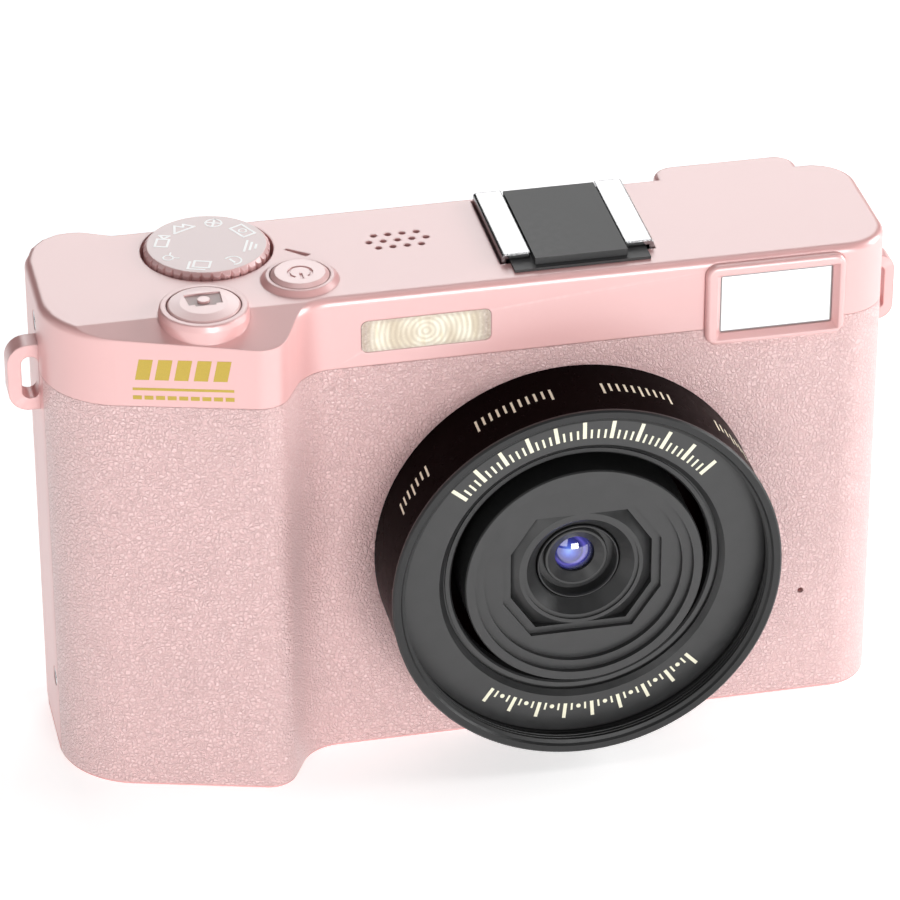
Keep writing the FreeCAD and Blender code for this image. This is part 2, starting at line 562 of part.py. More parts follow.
# a moat with an eight-sided outer wall and a raised cone inside it, then a stepped cone down to the lens carrier
moat = cut("octagon_moat", octagon("octagon_inner", 10.0, 3.45, 6.45, 8.75, 4.4, 6.1),
           cone("moat_cone", 0, -D.ring_front + 4.3, D.lens_height, 8.47, 11.3, 1.8, "y"))
node("lens_baffle", cut("lens_baffle", baffle_turn,
                        octagon("octagon_outer", 11.2, 3.9, 7.2, 9.7, 2.0, 4.5), moat,
                        cyl("step_a", 0, -D.ring_front + 4.0, D.lens_height, 8.25, 0.8, "y"),
                        cone("step_b", 0, -D.ring_front + 4.7, D.lens_height, 7.75, D.cell_bore, 1.9, "y")))
node("af_housing", fuse("af_housing", lens("af_can", [(6.9, 9.0), (9.7, 9.0), (9.7, 16.9), (6.9, 16.9)]),
                        cut("af_base", box("af_plate", -9.9, 9.9, -8.9, -7.65, D.lens_height - 9.9, D.lens_height + 9.9),
                            box("af_window", -4.6, 4.6, -9.5, -7, D.lens_height - 3.6, D.lens_height + 3.6))))
node("af_carrier", lens("af_carrier", [
    (5.8, 6.42), (5.7, 6.28), (5.58, 6.28), (5.45, 6.5), (5.4, 8.3), (4.5, 8.3), (4.5, 14.4), (6.3, 14.4), (6.3, 9.8),
    (5.8, 9.8)]))
node("lens_cell", lens("lens_cell", [
    (4.47, 7.62), (4.35, 7.5), (4.05, 7.5), (2.82, 8.4), (2.82, 9.9), (2.3, 9.9), (2.3, 13.8), (4.47, 13.8)]))
front_dome = common("front_dome", cyl("dome_edge", 0, -D.ring_front + 7.4, D.lens_height, 2.78, 2.4, "y"))
ball = doc.addObject("Part::Sphere", "dome_ball")
ball.Radius = 4.4
place(ball, 0, -D.ring_front + 7.75 + 4.4, D.lens_height)
front_dome.Shapes = [front_dome.Shapes[0], ball]
node("front_lens_element", front_dome)
node("rear_lens_element", cyl("rear_lens_element", 0, -D.ring_front + 11.0, D.lens_height, 2.28, 1.3, "y"))
node("ir_filter", box("ir_filter", -4.5, 4.5, -8.8, -8.5, D.lens_height - 3.5, D.lens_height + 3.5))
node("image_sensor", box("image_sensor", -3.9, 3.9, -8.2, -7.62, D.lens_height - 3.1, D.lens_height + 3.1))
node("sensor_board", fuse("sensor_board", box("sensor_pcb", -9.9, 9.9, -7.6, -6.8, D.lens_height - 9.9, D.lens_height + 9.9),
                          box("sensor_plug", -6, 6, -6.8, -5.6, D.lens_height + 5.2, D.lens_height + 8.4)))

# ---------------------------------------------------------------- mode dial
dial = rev("dial_turn", "XZ", [(0, 69.7), (D.dial_radius, 69.7), (D.dial_radius, 72.35), (8.2, D.dial_top), (0, D.dial_top)],
           0, 0, 0)
notch_sk = sketch(dial, "dial_notch", "XY_Plane", [(D.dial_radius - 0.42, 0), (D.dial_radius + 0.4, -0.62),
                                                   (D.dial_radius + 0.4, 0.62)])
notch = dial.newObject("PartDesign::Pocket", "dial_notch_cut")
notch.Profile = notch_sk
notch.Type = "ThroughAll"
notch.Midplane = True
doc.recompute()
full = dial.Tip.Shape.Volume
pattern = dial.newObject("PartDesign::PolarPattern", "dial_knurl")
pattern.Originals = [notch]
pattern.Axis = ([f for f in dial.Origin.OriginFeatures if f.Role == "Z_Axis"][0], [""])
pattern.Angle = 360
pattern.Occurrences = 38
dial.Tip = pattern
place(dial, -D.dial_x, D.dial_y, 0)
node("mode_dial", dial)
node("dial_shaft", rev("dial_shaft", "XZ", [(0, 65.6), (1.4, 65.6), (1.4, 67.0), (D.shaft_radius, 67.0), (D.shaft_radius, 69.68), (0, 69.68)],
                       -D.dial_x, D.dial_y, 0))
node("dial_encoder", cut("dial_encoder", box("encoder_can", -D.dial_x - 6, -D.dial_x + 6, 0.1, 10.1, 61.6, 66.2),
                         cyl("encoder_bore", -D.dial_x, D.dial_y, 65.0, 1.5, 3)))

# ---------------------------------------------------------------- shutter release
cap = rev("shutter_cap", "XZ", [(0, 66.3), (1.5, 66.3), (1.5, 70.9), (D.shutter_cap, 70.9), (D.shutter_cap, 73.4), (4.75, 73.6),
                                (3.2, 73.87), (0, 73.98)], -D.shutter_x, -D.shutter_y, 0)
icon = prism("release_icon", "XY", [(-52.55, -10.45), (-52.3, -13.5), (-51.5, -13.5), (-51.4, -13.95), (-48.7, -13.95),
                                    (-48.6, -13.5), (-47.75, -13.5), (-47.6, -10.3)], 73.62, 75)
icon_dot = cyl("release_dot", -50.1, -12.15, 73.0, 0.85, 3)
node("shutter_button", cut("shutter_button", cap, cut("release_icon_cut", icon, icon_dot)))
node("shutter_return_dome", rev("shutter_return_dome", "XZ", [(4.0, 69.03), (4.45, 69.03), (4.45, 69.2), (3.1, 70.85),
                                                            (2.3, 70.85), (2.3, 70.6), (2.9, 70.6)],
                                -D.shutter_x, -D.shutter_y, 0))
node("shutter_switch", fuse("shutter_switch", box("release_switch_body", -D.shutter_x - 3, -D.shutter_x + 3,
                                                  -D.shutter_y - 3, -D.shutter_y + 3, 62.0, 64.0),
                            cyl("release_plunger", -D.shutter_x, -D.shutter_y, 64.0, 1.0, 1.1)))

# ---------------------------------------------------------------- power button
pcap = rev("power_cap", "XZ", [(0, 66.6), (1.2, 66.6), (1.2, 71.0), (D.power_cap, 71.0), (D.power_cap, 72.75), (3.45, 73.2),
                               (0, 73.2)], -D.power_x, -D.power_y, 0)
arc_out = cyl("power_arc_out", -D.power_x, -D.power_y - 0.15, 73.0, 1.75, 1, "z", 292)
arc_out.Placement = FreeCAD.Placement(V(0, 0, 0), FreeCAD.Rotation(V(0, 0, 1), -56))
place(arc_out, -D.power_x, -D.power_y - 0.15, 73.0, FreeCAD.Rotation(V(0, 0, 1), -56))
arc_in = cyl("power_arc_in", -D.power_x, -D.power_y - 0.15, 72.5, 1.37, 2)
bar = box("power_bar", -D.power_x - 0.2, -D.power_x + 0.2, -D.power_y - 2.15, -D.power_y - 0.5, 73.0, 74)
node("power_button", cut("power_button", pcap, cut("power_arc", arc_out, arc_in), bar))
node("power_switch", fuse("power_switch", box("power_switch_body", -D.power_x - 2.6, -D.power_x + 2.6, -D.power_y - 2.6,
                                              -D.power_y + 2.6, 63.0, 65.0),
                          cyl("power_plunger", -D.power_x, -D.power_y, 65.0, 0.8, 1.0)))

# ---------------------------------------------------------------- accessory shoe and its slide-in cover
node("hot_shoe_base", fuse("hot_shoe_base", box("shoe_floor", shoe_l + 0.7, shoe_r - 0.7, -D.shoe_front + 0.1, D.shoe_rear, 70.4, 70.65),
                           cyl("shoe_contact", D.shoe_mid, 1.0, 70.6, 1.1, 0.15)))
rails = []
for side, xo, xi in (("l", shoe_l, -1), ("r", shoe_r, 1)):
    k = -xi
    pts = [(xo, 70.4), (xo + 0.62 * k, 70.4), (xo + 0.62 * k, 72.55), (xo + 3.95 * k, 72.55), (xo + 3.95 * k, D.shoe_top),
           (xo, D.shoe_top)]
    if k < 0:
        pts = pts[::-1]
    rail = prism("rail_" + side, "XZ", pts, -D.shoe_front, D.shoe_rear)
    xv = q(xo).v
    fillet(rail, "rail_%s_soft" % side, lambda e, xv=xv: len(e.Vertexes) == 2 and all(abs(p.X - xv) < 0.01 and
           abs(p.Z - VAL["shoe_top"]) < 0.01 for p in e.Vertexes), 0.55)
    rails.append(rail)
node("hot_shoe_rails", group("hot_shoe_rails", *rails))
cover = fuse("cover_block",
             box("cover_nose", D.shoe_mid - D.cover_plate_half, D.shoe_mid + D.cover_plate_half, -10.5, -6.5, 72.06, 72.44),
             box("cover_plate", D.shoe_mid - D.cover_plate_half, D.shoe_mid + D.cover_plate_half, -7.1, 11.0, 70.85, 72.44),
             box("cover_rise", D.shoe_mid - D.cover_half, D.shoe_mid + D.cover_half, -9.5, 10.6, 72.06, 73.42))
node("hot_shoe_cover", cover)

# ---------------------------------------------------------------- flash
node("flash_window", rbox("flash_window", "y", -D.flash_x + 0.05, -D.flash_x + D.flash_wide - 0.05, D.flash_z + 0.05,
                          D.flash_z + D.flash_tall - 0.05, -D.half_depth + 0.02, -11.2, 0.85))
refl = box("reflector_block", -28.4, -11.3, -10.95, -5.9, 62.7, 68.35)
refl_in = prism("reflector_in", "YZ", [(-12, 63.2), (-7.2, 64.6), (-6.8, 65.5), (-7.2, 66.4), (-12, 67.85)], -27.9, -11.8)
node("flash_reflector", cut("flash_reflector", refl, refl_in))
node("flash_tube", cyl("flash_tube", -27.6, -8.1, 65.5, 0.75, 15.5, "x"))
node("flash_capacitor", cyl("flash_capacitor", -66.0, -7.3, 52.2, 4.0, 26.0, "x"))

# ---------------------------------------------------------------- viewfinder
bez_out = rbox("bezel_out", "y", D.finder_x + 0.03, D.finder_x + D.finder_wide - 0.03, D.finder_z + 0.03,
               D.finder_z + D.finder_tall - 0.03, -D.half_depth - D.finder_proud, -10.85, 1.65, 0.55, "lo")
bez_in = rbox("bezel_in", "y", 21.2, 37.15, 60.4, 69.26, -20, -5, 0.35)
bevel = doc.addObject("Part::Wedge", "bezel_bevel")
for prop, val in (("Xmin", 20.45), ("Xmax", 37.9), ("Zmin", 59.75), ("Zmax", 69.95), ("Ymin", -13.65), ("Ymax", -12.55),
                  ("X2min", 21.2), ("X2max", 37.15), ("Z2min", 60.4), ("Z2max", 69.26)):
    setattr(bevel, prop, val)
node("viewfinder_bezel", cut("viewfinder_bezel", bez_out, bez_in, bevel))
node("viewfinder_window", rbox("viewfinder_window", "y", 21.3, 37.05, 60.5, 69.16, -12.35, -11.4, 0.3))
node("viewfinder_tunnel", cut("viewfinder_tunnel", box("tunnel_out", 20.5, 37.9, -10.8, 10.3, 59.8, 69.1),
                              box("tunnel_in", 21.4, 37.0, -12, 12, 60.7, 68.3)))
node("eyepiece_lens", rbox("eyepiece_lens", "y", 22.06, 34.94, 62.66, 69.34, 13.9, 15.2, 1.1))

# ---------------------------------------------------------------- display
node("lcd_window", rbox("lcd_window", "y", -D.display_left + 0.08, D.display_right - 0.08, D.display_low + 0.08,
                        D.display_high - 0.08, 11.3, 12.75, 1.5))
node("lcd_panel", rbox("lcd_panel", "y", -31.6, 36.6, 6.4, 54.0, 7.2, 10.2, 0.6))

# ---------------------------------------------------------------- rear controls
for n, bx, bz in BUTTONS:
    node(n, rev(n, "XY", [(0, 5.9), (1.2, 5.9), (1.2, 9.0), (3.6, 9.0), (3.6, 9.7), (2.72, 9.7), (2.72, 13.0), (2.4, 13.25),
                          (0, 13.3)], bx, 0, bz))
node("nav_ring", rev("nav_ring", "XY", [(4.35, 8.6), (10.3, 8.6), (10.3, 9.6), (D.pad_radius, 9.6), (D.pad_radius, 12.9),
                                        (9.0, 13.3), (5.4, 13.05), (4.35, 12.75)], -D.pad_x, 0, D.pad_z))
node("ok_button", rev("ok_button", "XY", [(0, 5.9), (1.3, 5.9), (1.3, 7.4), (5.2, 7.4), (5.2, 8.1), (4.2, 8.1), (4.2, 12.9),
                                          (3.7, 13.25), (0, 13.35)], -D.pad_x, 0, D.pad_z))
rock = rbox("rocker_cap", "y", -57.0, -42.0, 50.9, 56.3, 8.8, 13.7, 1.2, 0.5, "hi")
node("zoom_rocker", cut("zoom_rocker", fuse("rocker_solid", rock, box("rocker_stem", -50.6, -48.4, 6.6, 9.0, 52.4, 54.8)),
                        cyl("rocker_dish", -49.5, 31.2, 40, 18.0, 30)))

# ---------------------------------------------------------------- inside
frame_plate = cut("frame_plate", box("frame_sheet", -69.0, 37.0, -2.2, -1.0, 3.0, 58.5),
                  box("frame_notch", -8, 8, -5, 5, 0, 11), cyl("frame_window", 0, -5, D.lens_height, 11.5, 8, "y"))
node("chassis_frame", fuse("chassis_frame", frame_plate, box("bay_side", -36.2, -35.2, -10.2, -2.2, 3.0, 46.0),
                           box("bay_top", -66.8, -35.2, -9.8, -2.2, 45.0, 46.0)))
node("main_board", cut("main_board", box("board_sheet", -66.5, 41.0, 4.4, 5.4, 5.0, 58.0),
                       cyl("board_hole_a", -63.5, 3, 55.0, 1.2, 4, "y"), cyl("board_hole_b", 38.0, 3, 55.0, 1.2, 4, "y"),
                       cyl("board_hole_c", 38.0, 3, 8.0, 1.2, 4, "y")))
node("board_components", group("board_components",
                               box("processor", -4.0, 10.0, 3.0, 4.4, 22.0, 36.0), box("memory_chip", 14.0, 24.0, 3.3, 4.4, 24.0, 34.0),
                               box("power_shield", -30.0, -12.0, 2.4, 4.4, 8.0, 22.0), box("inductor_a", -28.0, -22.0, 1.6, 4.4, 28.0, 34.0),
                               box("inductor_b", -19.0, -15.0, 2.0, 4.4, 28.0, 32.0), box("ribbon_socket", 14.0, 30.0, 2.9, 4.4, 44.0, 47.5),
                               box("coin_cell", 18.0, 28.0, 1.8, 4.4, 8.0, 18.0)))
node("battery_pack", rbox("battery_pack", "z", -67.4, -67.4 + D.battery_wide, -9.3, -9.3 + D.battery_thick, 3.2,
                          3.2 + D.battery_tall, 2.4, 0.4))
node("card_socket", cut("card_socket", box("socket_can", -66.0, -38.0, -0.9, 3.9, 7.0, 37.0),
                        box("socket_slot", -64.1, -39.9, 0.75, 3.1, 6.0, 36.1)))
card = prism("card_sheet", "XZ", [(-64.0, 4.0), (-40.0, 4.0), (-40.0, 33.0), (-43.0, 36.0), (-64.0, 36.0)], 0.85, 2.95)
node("memory_card", card)
usb_out = rbox("usb_out", "x", -2.6, 0.6, 17.5, 26.5, 38.3, D.body_right - 0.12, 1.45)
usb_in = rbox("usb_in", "x", -2.3, 0.3, 17.8, 26.2, 39.5, D.body_right + 1, 1.2)
usb_tongue = box("usb_tongue", 39.0, 44.6, -1.35, -0.65, 18.9, 25.1)
node("usb_socket", fuse("usb_socket", cut("usb_shell", usb_out, usb_in), usb_tongue))
node("speaker_unit", rev("speaker_unit", "XZ", [(0, 66.6), (6.0, 66.6), (6.0, 69.9), (5.4, 69.9), (4.8, 69.2), (0, 68.6)],
                         -20.77, 2.32, 0))
node("microphone_unit", cyl("microphone_unit", 34.3, -10.45, 17.0, 2.2, 1.9, "y"))

# ---------------------------------------------------------------- checks and export
doc.recompute()
bad = [(o.Name, o.State) for o in doc.Objects if "Invalid" in o.State or "Error" in o.State]
if bad:
    raise RuntimeError("features failed: %r" % bad)
if not dial.Tip.Shape.Volume < full - 1.0:
    raise RuntimeError("the knurl was not cut")
for name, obj in NODES:
    s = obj.Shape
    if s.isNull() or not s.isValid() or s.Volume <= 0:
        raise RuntimeError("%s has no valid solid" % name)
    s.exportStep("parts/%s.step" % name)
    b = s.BoundBox
    print("%-20s solids %2d  vol %9.1f  x %7.2f %7.2f  y %7.2f %7.2f  z %7.2f %7.2f" % (
        name, len(s.Solids), s.Volume, b.XMin, b.XMax, b.YMin, b.YMax, b.ZMin, b.ZMax))
print(len(NODES), "nodes")
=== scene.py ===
import bpy
import bmesh
import json
import math
import random
from mathutils import Matrix, Vector


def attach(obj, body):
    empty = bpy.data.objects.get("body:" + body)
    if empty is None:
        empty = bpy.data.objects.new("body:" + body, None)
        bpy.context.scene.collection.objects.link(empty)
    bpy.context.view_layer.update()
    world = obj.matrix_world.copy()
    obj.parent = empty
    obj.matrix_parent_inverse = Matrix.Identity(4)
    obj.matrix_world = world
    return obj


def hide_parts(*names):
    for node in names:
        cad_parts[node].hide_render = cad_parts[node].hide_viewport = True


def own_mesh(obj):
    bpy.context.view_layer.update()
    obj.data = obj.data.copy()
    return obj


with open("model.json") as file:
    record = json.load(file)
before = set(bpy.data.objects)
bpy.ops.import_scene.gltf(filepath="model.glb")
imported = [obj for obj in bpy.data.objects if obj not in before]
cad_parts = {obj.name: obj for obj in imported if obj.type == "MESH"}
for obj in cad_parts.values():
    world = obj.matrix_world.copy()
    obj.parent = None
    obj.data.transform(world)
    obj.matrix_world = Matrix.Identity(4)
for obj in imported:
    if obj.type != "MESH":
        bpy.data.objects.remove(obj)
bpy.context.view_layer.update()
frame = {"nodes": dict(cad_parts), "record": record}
NODE = frame["nodes"]
MM = 0.001
scene = bpy.context.scene
random.seed(7)
WORLD = 0.03
FLOOR_GLOW = 0.54
LAMPS = [
    ("front_low", (0.15, -0.9, 0.10), 0.4, 6.3),
    ("front_left", (-0.5, -0.8, 0.40), 0.5, 1.5),
    ("side_left", (-0.9, 0.0, 0.30), 0.9, 1.2),
    ("back_top", (0.22, 1.0, 0.62), 0.8, 5.8),
    ("top", (0.0, 0.0, 0.9), 0.6, 1.1),
    ("side_right", (0.9, 0.0, 0.30), 0.5, 6.6),
]


# ------------------------------------------------------------------ colour and node helpers
def lin(r, g, b):
    out = []
    for c in (r, g, b):
        c = c / 255.0
        out.append(c / 12.92 if c <= 0.04045 else ((c + 0.055) / 1.055) ** 2.4)
    return (out[0], out[1], out[2], 1.0)


class Mat:
    """A small builder round one Principled material. Coordinates are the object's own, in millimetres."""

    def __init__(self, name):
        self.m = bpy.data.materials.new(name)
        self.m.use_nodes = True
        self.t = self.m.node_tree
        self.bsdf = self.t.nodes["Principled BSDF"]
        tc = self.t.nodes.new("ShaderNodeTexCoord")
        mp = self.t.nodes.new("ShaderNodeMapping")
        mp.inputs["Scale"].default_value = (1000, 1000, 1000)
        self.t.links.new(tc.outputs["Object"], mp.inputs["Vector"])
        self.co = mp.outputs["Vector"]

    def set(self, **kw):
        names = {"rough": "Roughness", "metal": "Metallic", "spec": "Specular IOR Level", "coat": "Coat Weight",
                 "coat_rough": "Coat Roughness", "sheen": "Sheen Weight", "sheen_rough": "Sheen Roughness",
                 "trans": "Transmission Weight", "ior": "IOR", "alpha": "Alpha", "base": "Base Color",
                 "emit": "Emission Color", "emit_strength": "Emission Strength", "sss": "Subsurface Weight",
                 "sss_scale": "Subsurface Scale", "sheen_tint": "Sheen Tint", "aniso": "Anisotropic",
                 "coat_tint": "Coat Tint", "spec_tint": "Specular Tint", "film": "Thin Film Thickness"}
        for k, v in kw.items():
            self.bsdf.inputs[names[k]].default_value = v
        return self

    def new(self, kind, **kw):
        n = self.t.nodes.new(kind)
        for k, v in kw.items():
            setattr(n, k, v)
        return n

    def link(self, a, b):
        self.t.links.new(a, b)

    def noise(self, scale, detail=2.0, rough=0.5, vec=None, distort=0.0):
        n = self.new("ShaderNodeTexNoise")
        n.inputs["Scale"].default_value = scale
        n.inputs["Detail"].default_value = detail
        n.inputs["Roughness"].default_value = rough
        n.inputs["Distortion"].default_value = distort
        self.link(vec or self.co, n.inputs["Vector"])
        return n.outputs["Fac"]

    def voronoi(self, scale, feature="F1", vec=None, rand=1.0):
        n = self.new("ShaderNodeTexVoronoi", feature=feature)
        n.inputs["Scale"].default_value = scale
        n.inputs["Randomness"].default_value = rand
        self.link(vec or self.co, n.inputs["Vector"])
        return n.outputs["Distance"]

    def ramp(self, fac, stops, interp="LINEAR"):
        n = self.new("ShaderNodeValToRGB")
        n.color_ramp.interpolation = interp
        e = n.color_ramp.elements
        while len(e) < len(stops):
            e.new(0.5)
        for i, (p, c) in enumerate(stops):
            e[i].position = p
            e[i].color = c if len(c) == 4 else (c[0], c[1], c[2], 1)
        self.link(fac, n.inputs["Fac"])
        return n.outputs["Color"]

    def math(self, op, a, b=None, clamp=False):
        n = self.new("ShaderNodeMath", operation=op, use_clamp=clamp)
        for i, v in enumerate((a, b)):
            if v is None:
                continue
            if isinstance(v, (int, float)):
                n.inputs[i].default_value = v
            else:
                self.link(v, n.inputs[i])
        return n.outputs[0]

    def mix(self, fac, a, b, blend="MIX"):
        n = self.new("ShaderNodeMix", data_type="RGBA", blend_type=blend)
        for sock, v in ((n.inputs[0], fac), (n.inputs[6], a), (n.inputs[7], b)):
            if isinstance(v, (int, float)):
                sock.default_value = v
            elif isinstance(v, tuple):
                sock.default_value = v
            else:
                self.link(v, sock)
        return n.outputs[2]

    def span(self, v, a, b, c, d, smooth=False):
        n = self.new("ShaderNodeMapRange")
        if smooth:
            n.interpolation_type = "SMOOTHSTEP"
        for i, x in enumerate((a, b, c, d)):
            n.inputs[i + 1].default_value = x
        self.link(v, n.inputs[0])
        return n.outputs[0]

    def xyz(self):
        n = self.new("ShaderNodeSeparateXYZ")
        self.link(self.co, n.inputs[0])
        return n.outputs

    def bump(self, height, strength, distance, prev=None):
        n = self.new("ShaderNodeBump")
        n.inputs["Strength"].default_value = strength
        n.inputs["Distance"].default_value = distance
        self.link(height, n.inputs["Height"])
        if prev is not None:
            self.link(prev, n.inputs["Normal"])
        return n.outputs["Normal"]

    def soft_edges(self, r):
        n = self.new("ShaderNodeBevel", samples=4)
        n.inputs["Radius"].default_value = r * MM
        return n.outputs["Normal"]

    def color(self, c):
        self.link(c, self.bsdf.inputs["Base Color"])

    def rough(self, r):
        self.link(r, self.bsdf.inputs["Roughness"])

    def normal(self, n):
        self.link(n, self.bsdf.inputs["Normal"])


def scaled(c, k):
    return (min(c[0] * k, 1), min(c[1] * k, 1), min(c[2] * k, 1), 1)


def plastic(name, base, rough=0.35, grain=7.0, grain_depth=0.004, vary=0.03, coat=0.0, coat_rough=0.1, spec=0.5,
            sss=0.0, wear=None, edge_mm=0.0, ior=None, mottle=0.035):
    """Moulded plastic: slow tone drift, fine spark-eroded grain and slightly uneven gloss."""
    m = Mat(name)
    m.set(spec=spec, coat=coat, coat_rough=coat_rough, base=base)
    slow = m.noise(0.12, 3.0, 0.55)
    col = m.ramp(slow, [(0.25, scaled(base, 1 - vary)), (0.75, scaled(base, 1 + vary))])
    if wear is not None:
        geo = m.new("ShaderNodeNewGeometry")
        edge = m.span(geo.outputs["Pointiness"], 0.62, 0.74, 0.0, 0.5)
        edge = m.math("MULTIPLY", edge, m.span(m.noise(0.9, 3.0), 0.4, 0.7, 0.3, 1.0))
        col = m.mix(edge, col, wear)
    m.color(col)
    fine = m.noise(grain, 3.0, 0.6)
    m.rough(m.span(m.noise(0.6, 4.0, 0.6), 0.3, 0.7, rough - mottle, rough + mottle))
    m.normal(m.bump(fine, 0.10, grain_depth * MM, m.soft_edges(edge_mm) if edge_mm else None))
    if sss:
        m.set(sss=sss, sss_scale=0.0008)
    if ior:
        m.set(ior=ior)
    return m.m


PINK = (0.785, 0.42, 0.41, 1)
PINK_LEATHER = (0.96, 0.615, 0.605, 1)
mats = {}
mats["pink_shell"] = plastic("pink_shell_paint", PINK, rough=0.36, grain=9.0, grain_depth=0.003, vary=0.006,
                             coat=0.25, coat_rough=0.34, wear=(0.95, 0.66, 0.65, 1), edge_mm=0.35, spec=1.0, ior=1.8, mottle=0.006)
mats["pink_button"] = plastic("pink_button_paint", (0.86, 0.53, 0.52, 1), rough=0.34, grain=9.0, grain_depth=0.003,
                              vary=0.012, coat=0.25, coat_rough=0.32, wear=(0.95, 0.68, 0.67, 1), edge_mm=0.15, spec=1.0, ior=1.8, mottle=0.006)
mats["dial_face"] = plastic("dial_face_paint", (0.70, 0.52, 0.515, 1), rough=0.40, grain=6.0, grain_depth=0.004,
                            vary=0.006, spec=1.0, ior=1.8, mottle=0.006)
# painted shade: a darker, greyer pink for the floor of the recessed release symbol
mats["recess_tone"] = plastic("recess_shade_paint", (0.50, 0.36, 0.352, 1), rough=0.45, grain=6.0, grain_depth=0.004,
                              vary=0.01, spec=0.8)
mats["base_plastic"] = plastic("base_plate_plastic", (0.76, 0.43, 0.42, 1), rough=0.45, grain=7.0, grain_depth=0.004,
                               vary=0.006, spec=0.6, edge_mm=0.3, mottle=0.006)


def leather():
    """Embossed leatherette: rounded pebbles parted by fine creases, with painted shade in the creases and a painted
    highlight on the raised grain.
    """
    m = Mat("pink_leatherette")
    warp = m.new("ShaderNodeTexNoise")
    warp.inputs["Scale"].default_value = 1.6
    warp.inputs["Detail"].default_value = 3.0
    m.link(m.co, warp.inputs["Vector"])
    add = m.new("ShaderNodeVectorMath", operation="MULTIPLY_ADD")
    m.link(warp.outputs["Color"], add.inputs[0])
    add.inputs[1].default_value = (0.75, 0.75, 0.75)
    m.link(m.co, add.inputs[2])
    vec = add.outputs[0]
    cell = m.voronoi(1.75, "DISTANCE_TO_EDGE", vec)
    fine = m.voronoi(4.4, "DISTANCE_TO_EDGE", vec)
    pebble = m.span(cell, 0.0, 0.24, 0.0, 1.0, True)
    small = m.span(fine, 0.0, 0.20, 0.0, 1.0, True)
    height = m.math("ADD", m.math("MULTIPLY", pebble, 0.8), m.math("MULTIPLY", small, 0.2))
    height = m.math("ADD", height, m.math("MULTIPLY", m.noise(0.9, 2.0), 0.5))
    slow = m.noise(0.10, 3.0, 0.55)
    base = m.ramp(slow, [(0.3, scaled(PINK_LEATHER, 0.975)), (0.7, scaled(PINK_LEATHER, 1.03))])
    # painted light: the creases get a darker pink as painted shade, and the tops of the pebbles a paler pink as a
    # painted highlight
    crease_shade = m.span(cell, 0.0, 0.13, 0.55, 0.0, True)
    crest_highlight = m.math("MULTIPLY", m.span(cell, 0.16, 0.30, 0.0, 0.18, True), m.span(m.noise(2.3, 2.0), 0.4, 0.62, 0.0, 1.0, True))
    base = m.mix(crest_highlight, base, (0.98, 0.76, 0.75, 1))
    m.color(m.mix(crease_shade, base, (0.82, 0.46, 0.455, 1)))
    m.rough(m.span(height, 0.2, 1.2, 0.46, 0.32))
    m.normal(m.bump(height, 1.0, 0.20 * MM))
    m.set(base=PINK_LEATHER, spec=1.0, ior=1.8, coat=0.5, coat_rough=0.30, sheen=0.12, sheen_rough=0.45, sheen_tint=(1, 0.93, 0.92, 1))
    return m.m


mats["pink_leather"] = leather()


def barrel():
    m = Mat("barrel_lacquer")
    m.set(base=(0.0027, 0.0004, 0.0004, 1), spec=0.01)
    m.color(m.ramp(m.noise(0.1, 3.0), [(0.3, (0.0024, 0.0004, 0.0004, 1)), (0.7, (0.0031, 0.0005, 0.0005, 1))]))
    m.rough(m.span(m.noise(0.8, 4.0), 0.3, 0.7, 0.26, 0.34))
    m.normal(m.bump(m.noise(8.0, 3.0), 0.12, 0.002 * MM))
    return m.m


mats["barrel_gloss"] = barrel()


def turned(name, base, rough, lines=5.0, depth=0.003, metal=0.0, spec=0.5, vary=0.12, coat=0.0):
    """A part turned on a lathe about the lens axis: faint rings, seen in bump and gloss."""
    m = Mat(name)
    m.set(base=base, metal=metal, spec=spec, coat=coat, coat_rough=0.3)
    x, y, z = m.xyz()
    dz = m.math("SUBTRACT", z, 30.5)
    r = m.math("SQRT", m.math("ADD", m.math("MULTIPLY", x, x), m.math("MULTIPLY", dz, dz)))
    wave = m.math("SINE", m.math("MULTIPLY", r, lines * 6.2832))
    wob = m.noise(5.0, 3.0)
    h = m.math("ADD", m.math("MULTIPLY", wave, 0.35), wob)
    m.color(m.ramp(m.noise(0.35, 3.0), [(0.3, scaled(base, 1 - vary)), (0.7, scaled(base, 1 + vary))]))
    m.rough(m.span(m.noise(1.2, 4.0), 0.3, 0.7, rough - 0.05, rough + 0.05))
    m.normal(m.bump(h, 0.18, depth * MM))
    return m.m


mats["lens_black"] = turned("lens_black_moulding", (0.021, 0.021, 0.0215, 1), 0.40, spec=0.75, depth=0.002)
mats["ring_black"] = turned("ring_black_anodised", (0.0155, 0.0155, 0.016, 1), 0.4, metal=0.0, spec=0.45, depth=0.002)
mats["black_plastic"] = plastic("black_plastic", (0.022, 0.022, 0.024, 1), rough=0.45, grain=5.0, grain_depth=0.006,
                                vary=0.1)
mats["cover_black"] = plastic("cover_black_plastic", (0.036, 0.036, 0.037, 1), rough=0.5, grain=7.0,
                              grain_depth=0.003, vary=0.01, mottle=0.004, spec=0.42, wear=(0.16, 0.16, 0.16, 1))
mats["chip_black"] = plastic("chip_epoxy", (0.02, 0.02, 0.022, 1), rough=0.5, vary=0.1)
mats["circuit_green"] = plastic("solder_mask", (0.01, 0.09, 0.04, 1), rough=0.3, grain=3.0, vary=0.15)
mats["battery_wrap"] = plastic("battery_sleeve", (0.05, 0.06, 0.11, 1), rough=0.35, vary=0.08)
mats["card_blue"] = plastic("card_shell", (0.02, 0.05, 0.2, 1), rough=0.4, vary=0.06)
mats["silicone"] = plastic("silicone", (0.6, 0.6, 0.6, 1), rough=0.6, vary=0.05)
mats["display_panel"] = plastic("display_panel", (0.012, 0.013, 0.018, 1), rough=0.25, vary=0.1)


